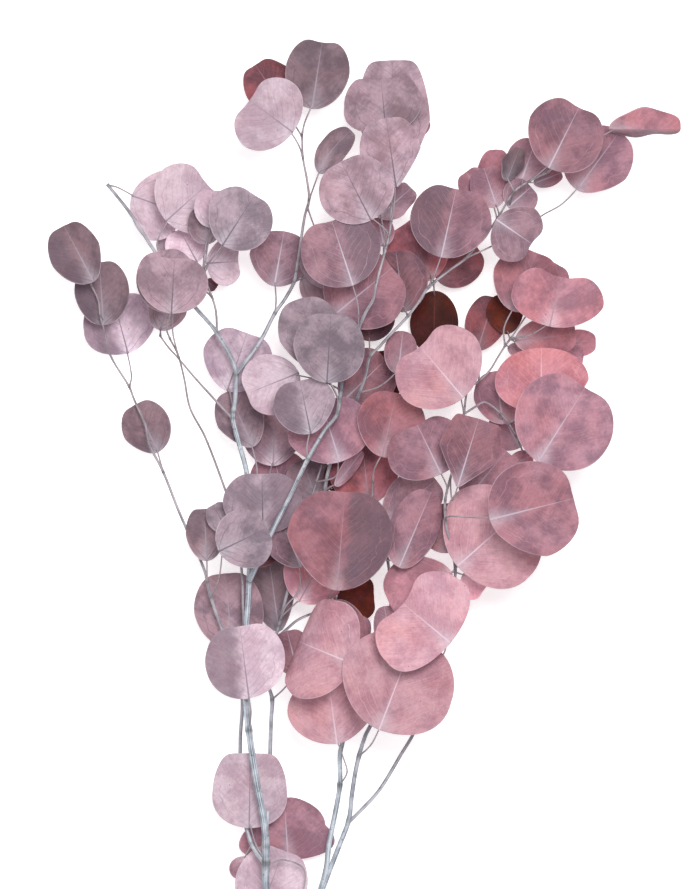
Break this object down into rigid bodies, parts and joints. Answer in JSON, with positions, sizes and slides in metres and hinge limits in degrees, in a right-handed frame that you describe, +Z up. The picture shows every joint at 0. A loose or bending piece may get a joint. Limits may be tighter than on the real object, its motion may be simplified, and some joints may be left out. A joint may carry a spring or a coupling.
{
  "type": "eucalyptus branch",
  "caption": "Cut branch of preserved round-leaved eucalyptus, dyed mauve and rose, lying flat: a woody stem that forks into leafy shoots with notched silver-dollar leaves.",
  "frame": {"origin": "centre of the branch in plan, on the table it lies on", "axes": "+Z up from the table, +Y from the cut end towards the tips, +X to the right of that, seen from above"},
  "size_m": [0.4424, 0.7042, 0.102],
  "materials": {
    "stem": "matt blue-grey waxy bark",
    "leaf_blush": "matt, supple preserved leaf, dyed blush",
    "leaf_pink": "matt, supple preserved leaf, dyed pink",
    "leaf_lilac": "matt, supple preserved leaf, dyed lilac",
    "leaf_ash": "matt, supple preserved leaf, dyed ash",
    "leaf_dusk": "matt, supple preserved leaf, dyed dusk",
    "leaf_mauve": "matt, supple preserved leaf, dyed mauve",
    "leaf_heather": "matt, supple preserved leaf, dyed heather",
    "leaf_rosy": "matt, supple preserved leaf, dyed rosy",
    "leaf_rose": "matt, supple preserved leaf, dyed rose",
    "leaf_wine": "matt, supple preserved leaf, dyed wine"
  },
  "bodies": {
    "root": {"main_stem": "stem", "crown_twig": "leaf_ash", "left_twig": "leaf_wine", "left_spray": "leaf_heather", "far_left_tip": "leaf_heather", "top_left_tip": "leaf_blush", "top_middle_tip": "leaf_heather", "centre_tip": "leaf_rosy", "centre_fork": "leaf_rose", "right_tip": "leaf_pink", "middle_tip": "leaf_rosy", "far_right_tip": "leaf_rose", "right_spray": "leaf_mauve", "far_left_leaf_1": "leaf_dusk", "far_left_leaf_2": "leaf_ash", "far_left_leaf_3": "leaf_dusk", "main_leaf_1": "leaf_blush", "main_leaf_2": "leaf_blush", "right_leaf_1": "leaf_rosy", "main_leaf_3": "leaf_pink", "far_left_leaf_4": "leaf_rosy", "main_leaf_4": "leaf_blush", "main_leaf_5": "leaf_dusk", "main_leaf_6": "leaf_lilac", "main_leaf_7": "leaf_dusk", "main_leaf_8": "leaf_blush", "main_leaf_9": "leaf_blush", "top_left_leaf_1": "leaf_rosy", "top_middle_leaf_1": "leaf_ash", "top_middle_leaf_2": "leaf_ash", "top_middle_leaf_3": "leaf_ash", "top_middle_leaf_4": "leaf_pink", "top_middle_leaf_5": "leaf_mauve", "top_left_leaf_2": "leaf_wine", "top_middle_leaf_6": "leaf_rosy", "centre_leaf_1": "leaf_dusk", "centre_leaf_2": "leaf_mauve", "centre_leaf_3": "leaf_rose", "centre_leaf_4": "leaf_rosy", "right_leaf_2": "leaf_rose", "middle_leaf_1": "leaf_rose", "middle_leaf_2": "leaf_pink", "middle_leaf_3": "leaf_rosy", "middle_leaf_4": "leaf_rosy", "middle_leaf_5": "leaf_wine", "middle_leaf_6": "leaf_rosy", "middle_leaf_7": "leaf_rosy", "middle_leaf_8": "leaf_mauve", "far_right_leaf_1": "leaf_pink", "far_right_leaf_2": "leaf_mauve", "far_right_leaf_3": "leaf_rose", "far_right_leaf_4": "leaf_pink", "far_right_leaf_5": "leaf_pink", "far_right_leaf_6": "leaf_rose", "far_right_leaf_7": "leaf_rosy", "far_right_leaf_8": "leaf_rosy", "far_right_leaf_9": "leaf_rosy", "far_right_leaf_10": "leaf_rosy", "far_right_leaf_11": "leaf_pink"}
  },
  "joints": []
}
